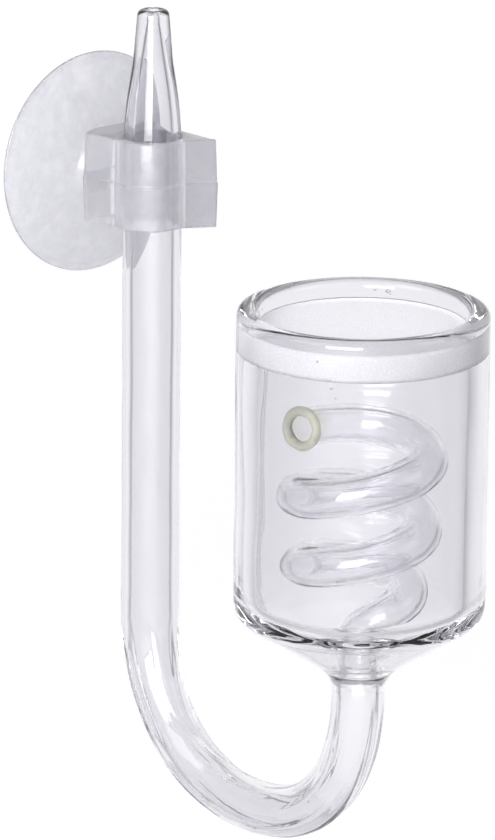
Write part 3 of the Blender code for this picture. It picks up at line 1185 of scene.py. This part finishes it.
@dataclass
class SpiralBead:
    """The ground and half melted bead round the spiral's open end.

    Attributes:
        effects: The shared surface effects.
        spiral: The spiral that it closes.
        swell: How far the bead stands proud of the tube, in metres.
        length: How far it runs along the tube.
        overhang: How far its middle stands beyond the end of the centre line.
        unevenness: How far it wanders from a true ring.
        around: Points on each ring.
        steps: Rings round its section.
    """

    effects: Effects
    spiral: Spiral
    swell: float = 0.00042
    length: float = 0.0016
    overhang: float = 0.0003
    unevenness: float = 0.00008
    around: int = 72
    steps: int = 28

    def build(self) -> bpy.types.Object:
        """Build and dress the piece.

        Returns:
            The bead.
        """
        path = self.spiral.path()
        end = swept_hoops(path, [0.0] * len(path), RIGHT)[-1]
        ahead = end.across.cross(end.beside)
        middle = (self.spiral.tube_radius + self.swell + self.spiral.mouth_radius) / 2
        half = (self.spiral.tube_radius + self.swell - self.spiral.mouth_radius) / 2
        hoops = []
        for along, out in arc((0.0, 0.0), 1.0, 0, 360, self.steps)[:-1]:
            centre = end.centre + ahead * (along * self.length / 2 + self.overhang)
            hoops.append(Hoop(centre, end.across, end.beside, middle + out * half))
        piece = skin("spiral_end_bead", hoops, self.around, True, self.unevenness)
        piece.data.materials.append(GroundGlass().material(self.effects))
        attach(piece, Body.GLASSWARE.value)
        log.info("%s: %d faces, on %s", piece.name, len(piece.data.polygons),
                 Body.GLASSWARE.value)
        return piece


@dataclass
class DiffuserDisc:
    """The white sintered disc, fused into the cup's wall below the rim.

    Attributes:
        effects: The shared surface effects.
        around: Points on each ring.
        bite: How far its edge is fused into the wall, beyond the gap left in the frame.
        meniscus: How far its edge creeps up and down the wall.
        meniscus_run: How far in from the wall the creep starts.
        grain: How uneven its two faces are, in metres.
        grain_pitch: Waves of that unevenness to the metre.
        rings: Rings from the middle to the edge.
        longest_step: Longest stretch between two rings, in metres.
    """

    effects: Effects
    around: int = 160
    bite: float = 0.00038
    meniscus: float = 0.00035
    meniscus_run: float = 0.0008
    grain: float = 0.00003
    grain_pitch: float = 1800.0
    rings: int = 24
    longest_step: float = 0.0008

    def build(self) -> bpy.types.Object:
        """Build and dress the piece.

        Returns:
            The disc.
        """
        low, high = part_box("diffuser_disc")
        radius = (high[0] - low[0]) / 2 + self.bite
        axis = Vector((0, (low[1] + high[1]) / 2, 0))
        climb = self.meniscus
        top = [(radius * step / self.rings, high[2] - climb) for step in range(1, self.rings - 1)]
        top += [(radius - self.meniscus_run, high[2] - climb * 0.8), (radius, high[2])]
        foot = [(outward, low[2] + high[2] - height) for outward, height in top[::-1]]
        profile = [Vector(point) for point in top + foot]
        hoops = turned_hoops(axis, UP, RIGHT, Vector((0, 1, 0)),
                             divided(profile, self.longest_step))
        piece = skin("sintered_diffuser_disc", hoops, self.around, False)
        for vertex in piece.data.vertices:
            vertex.co.z += self.grain * noise.noise(vertex.co * self.grain_pitch)
        piece.data.materials.append(SinteredGlass().material(self.effects))
        declare(piece, Body.GLASSWARE, ("diffuser_disc",))
        return piece


# ---------------------------------------------------------------------------------------------
# Holder
# ---------------------------------------------------------------------------------------------


@dataclass
class SuctionCup:
    """The soft suction cup that grips the aquarium wall.

    Profile points are the radius and the height above the wall, in metres.

    Attributes:
        vinyl: The holder's material.
        around: Points on each ring.
        lip_radius: Outer radius of the lip.
        lip_inner_radius: Where the lip leaves the wall.
        lip_thickness: Thickness of the lip at its edge.
        lip_run: How far in from the edge the lip starts to thicken.
        lip_growth: Its thickness there, against the edge's.
        boss_radius: Radius of the boss that carries the clip.
        pole_radius: Radius of the innermost ring of each face.
        seat: How far the boss reaches into the clip block.
        rounding: Rounding of the profile's corners.
        longest_step: Longest stretch between two rings.
        dome_outside: Points of the outer face, from the boss to the lip.
        dome_inside: Points of the hollow face, from the lip to the middle.
    """

    vinyl: bpy.types.Material
    around: int = 160
    lip_radius: float = 0.0182
    lip_inner_radius: float = 0.0168
    lip_thickness: float = 0.00045
    lip_run: float = 0.0006
    lip_growth: float = 1.6
    boss_radius: float = 0.0048
    pole_radius: float = 0.0004
    seat: float = 0.0004
    rounding: float = 0.0005
    longest_step: float = 0.0008
    dome_outside: Outline = ((0.0065, 0.0040), (0.0095, 0.0033), (0.0130, 0.0024), (0.0165, 0.0013))
    dome_inside: Outline = ((0.0140, 0.0009), (0.0100, 0.0017), (0.0055, 0.0022), (0.0004, 0.0024))

    def build(self) -> bpy.types.Object:
        """Build and dress the piece.

        Returns:
            The suction cup.
        """
        low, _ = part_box("suction_cup")
        height = -low[1] + self.seat
        outline = [(self.pole_radius, height), (self.boss_radius, height), *self.dome_outside,
                   (self.lip_radius - self.lip_run, self.lip_thickness * self.lip_growth),
                   (self.lip_radius, self.lip_thickness), (self.lip_radius, 0.0),
                   (self.lip_inner_radius, 0.0), *self.dome_inside]
        profile = divided(filleted(outline, self.rounding), self.longest_step)
        hoops = turned_hoops(Vector((0, 0, 0)), Vector((0, -1, 0)), RIGHT, UP, profile)
        piece = skin("pvc_suction_cup", hoops, self.around, False)
        piece.data.materials.append(self.vinyl)
        declare(piece, Body.HOLDER, ("suction_cup",))
        return piece


@dataclass
class TubeClip:
    """The moulded block that grips the stem, with a parting line round its middle.

    Its outline is seen from above, in metres; the two mould halves taper away from the middle.

    Attributes:
        vinyl: The holder's material.
        stem_y: Where the stem's axis stands.
        stem_radius: The stem's radius.
        hole_play: Room between the stem and the hole.
        draft: How much each half narrows towards its end.
        edge: Rounding of the block's edges.
        shift: How far the upper mould half stands back from the lower one.
        flash: How far the parting line stands proud.
        corner_reach: Rounding of the block's upright corners.
        longest_step: Longest stretch of its outline between two points.
        around_hole: Points round the hole.
        edge_steps: Layers in the rounding of an edge.
        support: Distance of the layers that hold the rounding in place.
        taper_z: Height, either way from the middle, of the layer half way along the taper.
        taper_share: The share of the draft that is reached there.
        end_share: The share of the draft that is reached at the support layers.
        hole_rounding: Rounding of the hole's edges, as a share of the block's.
        seam_run: Height in which the halves step at the parting line.
        flash_half: Half the height of the proud line itself.
        back_half_width: Half the width of the face against the suction cup.
        waist_left: The left side, from the back to the wrap round the stem.
        waist_right: The right side, from the stem to the back.
        wrap_radius: Radius of the wrap round the stem.
        wrap_from: Angle where the wrap starts, in degrees.
        wrap_to: Angle where it ends, in degrees.
        front: The two corners at the front, from the wrap to the right.
        side_x: Where the right side passes the stem.
    """

    vinyl: bpy.types.Material
    stem_y: float
    stem_radius: float
    hole_play: float = 0.00005
    draft: float = 0.00022
    edge: float = 0.0003
    shift: float = 0.00014
    flash: float = 0.00006
    corner_reach: float = 0.0009
    longest_step: float = 0.0007
    around_hole: int = 96
    edge_steps: int = 6
    support: float = 0.0001
    taper_z: float = 0.0030
    taper_share: float = 0.40
    end_share: float = 0.93
    hole_rounding: float = 0.5
    seam_run: float = 0.0002
    flash_half: float = 0.00008
    back_half_width: float = 0.0044
    waist_left: Outline = ((-0.0080, -0.0075), (-0.0076, -0.0087), (-0.0070, -0.0112),
                           (-0.0066, -0.0142))
    waist_right: Outline = ((0.0070, -0.0112), (0.0076, -0.0087), (0.0080, -0.0075))
    wrap_radius: float = 0.0066
    wrap_from: float = 184.0
    wrap_to: float = 240.0
    front: Outline = ((0.0015, -0.0218), (0.0067, -0.0247))
    side_x: float = 0.0062

    def outline(self) -> list[Vector]:
        """Draw the block's outer outline, seen from above.

        Returns:
            Its points, once round.
        """
        back_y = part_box("tube_clip")[1][1]
        start = (0.0, back_y)
        wrap = arc((0.0, self.stem_y), self.wrap_radius, self.wrap_from, self.wrap_to, 5)
        corners = [start, (-self.back_half_width, back_y), *self.waist_left, *wrap, *self.front,
                   (self.side_x, self.stem_y), *self.waist_right, (self.back_half_width, back_y),
                   start]
        return divided(filleted(corners, self.corner_reach, 6), self.longest_step)[:-1]

    def layers(self) -> list[tuple[float, float, float]]:
        """Work out the block's layers.

        Returns:
            Height, inset of the outline and widening of the hole for each layer, foot to top.
        """
        low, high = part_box("tube_clip")
        support = self.support
        tapered = self.draft * self.taper_share
        ending = self.draft * self.end_share
        foot = []
        for step in range(self.edge_steps + 1):
            turn = math.pi / 2 * step / self.edge_steps
            cut = self.edge * (1.0 - math.sin(turn))
            foot.append((low[2] + self.edge * (1.0 - math.cos(turn)), self.draft + cut,
                         self.hole_rounding * cut))
        brim = [(foot[0][0], foot[0][1] + support, foot[0][2] + support)]
        below = [(low[2] + self.edge + support, ending, 0.0), (-self.taper_z, tapered, 0.0),
                 (-2 * self.seam_run, 0.0, 0.0), (-self.seam_run, 0.0, 0.0)]
        seam = [(-self.flash_half, -self.flash, 0.0), (self.flash_half, -self.flash, 0.0),
                (self.seam_run, self.shift, 0.0), (2 * self.seam_run, self.shift, 0.0)]
        above = [(self.taper_z, tapered + self.shift, 0.0),
                 (high[2] - self.edge - support, ending + self.shift, 0.0)]
        top = [(high[2] + low[2] - z, inset + self.shift, widening)
               for z, inset, widening in (brim + foot)[::-1]]
        return brim + foot + below + seam + above + top

    def build(self) -> bpy.types.Object:
        """Build and dress the piece.

        Returns:
            The clip block.
        """
        outline = self.outline()
        count = len(outline)
        inward = []
        for index, point in enumerate(outline):
            run = outline[(index + 1) % count] - outline[index - 1]
            inward.append(Vector((-run.y, run.x)).normalized())
        shape = bmesh.new()
        walls = []
        holes = []
        hole_radius = self.stem_radius + self.hole_play
        for height, inset, widening in self.layers():
            walls.append([shape.verts.new((*(point + normal * inset), height))
                          for point, normal in zip(outline, inward)])
            ring = arc((0.0, self.stem_y), hole_radius + widening, 0, 360, self.around_hole)
            holes.append([shape.verts.new((*point, height)) for point in ring[:-1]])
        for loops in (walls, holes):
            for loop, following in zip(loops, loops[1:]):
                for index, vertex in enumerate(loop):
                    beyond = (index + 1) % len(loop)
                    shape.faces.new((vertex, loop[beyond], following[beyond], following[index]))
        for layer in (0, -1):
            edges = []
            for loop in (walls[layer], holes[layer]):
                for index, vertex in enumerate(loop):
                    edges.append(shape.edges.get((vertex, loop[index - 1])))
            bmesh.ops.triangle_fill(shape, use_beauty=True, edges=edges)
        piece = finished("pvc_tube_clip", shape)
        piece.data.materials.append(self.vinyl)
        declare(piece, Body.HOLDER, ("tube_clip",))
        return piece


# ---------------------------------------------------------------------------------------------
# Studio
# ---------------------------------------------------------------------------------------------


@dataclass(frozen=True)
class SoftBox:
    """One soft rectangular light, aimed at the object.

    Attributes:
        name: The light's name.
        azimuth: Where it stands about the object, in degrees; 0 is in front, on the -Y side.
        elevation: How high it stands, in degrees.
        distance: How far away, in metres.
        width: Its width in metres.
        height: Its height in metres.
        watts: Its power.
    """

    name: str
    azimuth: float
    elevation: float
    distance: float
    width: float
    height: float
    watts: float


@dataclass
class Studio:
    """A pale floor with painted shade to its sides and in front and a painted glow behind the object,
    soft lights, pale surroundings and the camera.

    Attributes:
        floor_drop: How far the floor lies below the object, in metres.
        floor_radius: The floor's radius in metres.
        floor_glow: How strongly the paper behind the object glows.
        glow_reach: Distances at which the glow starts to grow and is full, in metres.
        near_reach: Distances at which the even floor underneath ends and the sweep is full.
        sweep_edge: How far along the sweep its edge starts and ends, as cosines.
        ceiling: Upward share of a direction where the ceiling starts and is full.
        floor_rings: Rings that the floor is made of.
        floor_sides: Points on each ring.
        paper_dark: The paper's darker tone.
        paper_light: Its lighter tone.
        side_painted_shade: The floor's painted shade to the sides of the object and under it.
        near_painted_shade: Its painted shade in front of the object, along the sweep.
        room_tone: Level of the room to the sides.
        sweep_tone: Level of the room along the sweep.
        ceiling_tone: Level of the room overhead.
        camera_azimuth: The camera's azimuth in degrees, 0 in front on the -Y side.
        camera_elevation: Its elevation in degrees.
        camera_distance: Its distance from the point it looks at, in metres.
        camera_roll: How far it leans to the left, in degrees.
        aim_offset: What it looks at, from the middle of the object.
        lens: Its focal length in millimetres.
        boxes: The soft lights.
    """

    floor_drop: float = 0.22
    floor_radius: float = 9.0
    floor_glow: float = 0.44
    glow_reach: tuple[float, float] = (0.5, 1.7)
    near_reach: tuple[float, float] = (0.25, 0.60)
    sweep_edge: tuple[float, float] = (0.45, 0.88)
    ceiling: tuple[float, float] = (0.22, 0.75)
    floor_rings: int = 8
    floor_sides: int = 64
    paper_dark: tuple[float, float, float] = (0.94, 0.94, 0.94)
    paper_light: tuple[float, float, float] = (0.96, 0.96, 0.96)
    side_painted_shade: tuple[float, float, float] = (0.60, 0.60, 0.62)
    near_painted_shade: tuple[float, float, float] = (0.78, 0.78, 0.79)
    room_tone: tuple[float, float, float] = (0.42, 0.42, 0.44)
    sweep_tone: tuple[float, float, float] = (1.06, 1.06, 1.06)
    ceiling_tone: tuple[float, float, float] = (0.42, 0.42, 0.45)
    camera_azimuth: float = -40.381
    camera_elevation: float = 16.404
    camera_distance: float = 1.1032
    camera_roll: float = 0.534
    aim_offset: tuple[float, float, float] = (-0.00122, 0.00245, 0.00364)
    lens: float = 296.65
    boxes: tuple[SoftBox, ...] = (
        SoftBox("key_softbox", -95.0, 38.0, 1.1, 0.55, 0.80, 3.2),
        SoftBox("fill_softbox", 25.0, 30.0, 1.2, 0.50, 0.70, 2.0),
        SoftBox("top_softbox", 140.0, 72.0, 1.2, 0.9, 0.9, 1.2),
        SoftBox("front_softbox", -58.0, 12.0, 1.7, 1.0, 1.2, 40.0),
    )

    def build(self) -> None:
        """Set up everything round the object."""
        low, high = (Vector(corner) for corner in cad_box)
        middle = (low + high) / 2
        self.floor(low.z - self.floor_drop)
        self.surroundings()
        for box in self.boxes:
            self.light(box, middle)
        self.camera(middle + Vector(self.aim_offset))
        scene = bpy.context.scene
        scene.view_settings.view_transform = "Standard"
        scene.cycles.max_bounces = 40
        scene.cycles.transmission_bounces = 40
        scene.cycles.glossy_bounces = 12

    @staticmethod
    def direction(azimuth: float, elevation: float) -> Vector:
        """The direction from the object to something round it.

        Args:
            azimuth: In degrees, 0 in front on the -Y side.
            elevation: In degrees.

        Returns:
            A unit vector.
        """
        turn = math.radians(azimuth)
        rise = math.radians(elevation)
        return Vector((math.sin(turn) * math.cos(rise), -math.cos(turn) * math.cos(rise),
                       math.sin(rise)))

    def floor(self, height: float) -> None:
        """Lay the floor, as wide rings that are finest under the object, painted darker to the sides
        and in front and glowing behind it.

        Args:
            height: Its height in metres.
        """
        shape = bmesh.new()
        sides = self.floor_sides
        rings = []
        for step in range(1, self.floor_rings + 1):
            radius = self.floor_radius * (step / self.floor_rings) ** 2
            rings.append([shape.verts.new((*point, height))
                          for point in arc((0.0, 0.0), radius, 0, 360, sides)[:-1]])
        shape.faces.new(rings[0])
        for ring, following in zip(rings, rings[1:]):
            for index in range(sides):
                beyond = (index + 1) % sides
                shape.faces.new((ring[index], following[index], following[beyond], ring[beyond]))
        plane = finished("studio_floor", shape)
        material, graph, shader = new_material("pale_floor")
        place = graph.add("TexCoord").outputs["Object"]
        away = graph.add("VectorMath", {0: place}, operation="LENGTH").outputs["Value"]
        clear = graph.spread(away, *self.near_reach, 0.0, 1.0)
        swept = graph.math("MULTIPLY", self.sweep(graph, place, True), clear)
        lit = graph.math("MULTIPLY", self.sweep(graph, place, False), clear)
        mottle = graph.add("TexNoise", {"Vector": place, "Scale": 6.0, "Detail": 3.0}).outputs[0]
        paper = graph.blend(mottle, self.paper_dark, self.paper_light)
        # Painted shade: the floor is darker to the sides, under and in front of the object, and pale
        # only behind it
        around = graph.blend(swept, self.side_painted_shade, self.near_painted_shade)
        graph.feed(shader, "Base Color", graph.blend(lit, around, paper))
        # Painted light: the paper behind the object glows, more strongly further away
        far = graph.spread(away, *self.glow_reach, 0.50, 1.0)
        glow = graph.blend(graph.math("MULTIPLY", lit, far), (0.0, 0.0, 0.0), (1.0, 1.0, 1.0))
        graph.feed(shader, "Emission Color", glow)
        shader.inputs["Roughness"].default_value = 0.9
        shader.inputs["Emission Strength"].default_value = self.floor_glow
        plane.data.materials.append(material)

    def sweep(self, graph: Graph, place: bpy.types.NodeSocket,
              both_ways: bool) -> bpy.types.NodeSocket:
        """How far a direction about the object lies along the lit paper sweep.

        Args:
            graph: The node tree to build in.
            place: A position or direction from the object.
            both_ways: Whether the sweep counts before the object too, or only behind it.

        Returns:
            A socket that is 1 on the sweep and 0 off to its sides.
        """
        along = self.direction(self.camera_azimuth, 0.0)
        level = graph.add("VectorMath", {0: place, 1: (1.0, 1.0, 0.0)}, operation="MULTIPLY")
        heading = graph.add("VectorMath", {0: level.outputs[0]}, operation="NORMALIZE")
        lined = graph.add("VectorMath", {0: heading.outputs[0], 1: along},
                          operation="DOT_PRODUCT").outputs["Value"]
        if both_ways:
            reach = graph.math("ABSOLUTE", lined)
        else:
            reach = graph.math("MULTIPLY", lined, -1.0)
        return graph.spread(reach, *self.sweep_edge, 0.0, 1.0)

    def surroundings(self) -> None:
        """Make the pale room: bright at the horizon and greyer overhead."""
        world = bpy.data.worlds.new("pale_room")
        world.use_nodes = True
        bpy.context.scene.world = world
        graph = Graph(world.node_tree)
        background = world.node_tree.nodes["Background"]
        way = graph.add("TexCoord").outputs["Generated"]
        upward = graph.add("SeparateXYZ", {0: way}).outputs["Z"]
        share = graph.spread(upward, *self.ceiling, 0.0, 1.0)
        level = graph.blend(self.sweep(graph, way, True), self.room_tone, self.sweep_tone)
        colour = graph.blend(share, level, self.ceiling_tone)
        graph.feed(background, "Color", colour)
        background.inputs["Strength"].default_value = 1.0

    def light(self, box: SoftBox, target: Vector) -> None:
        """Hang one soft light.

        Args:
            box: Which one.
            target: The point that it is aimed at.
        """
        data = bpy.data.lights.new(box.name, "AREA")
        data.shape = "RECTANGLE"
        data.size = box.width
        data.size_y = box.height
        data.energy = box.watts
        lamp = bpy.data.objects.new(box.name, data)
        away = self.direction(box.azimuth, box.elevation)
        lamp.location = target + away * box.distance
        lamp.rotation_euler = away.to_track_quat("Z", "Y").to_euler()
        lamp.visible_camera = False
        bpy.context.scene.collection.objects.link(lamp)

    def camera(self, target: Vector) -> None:
        """Place the camera and make it the scene's.

        Args:
            target: The point that it looks at.
        """
        data = bpy.data.cameras.new("camera")
        data.lens = self.lens
        data.sensor_width = 36.0
        data.clip_end = 50.0
        camera = bpy.data.objects.new("camera", data)
        away = self.direction(self.camera_azimuth, self.camera_elevation)
        camera.location = target + away * self.camera_distance
        lean = Quaternion((0, 0, 1), math.radians(self.camera_roll))
        camera.rotation_euler = (away.to_track_quat("Z", "Y") @ lean).to_euler()
        bpy.context.scene.collection.objects.link(camera)
        bpy.context.scene.camera = camera


def main() -> None:
    """Build the studio and every piece, in order."""
    logging.basicConfig(level=logging.INFO, format="%(name)s: %(message)s")
    Studio().build()
    effects = Effects()
    glass = FusedGlass(effects)
    glass.build()
    SpiralBead(effects, glass.spiral).build()
    DiffuserDisc(effects).build()
    vinyl = SoftVinyl().material(effects)
    SuctionCup(vinyl).build()
    TubeClip(vinyl, glass.stem_y, glass.stem_radius).build()


if __name__ == "__main__":
    main()
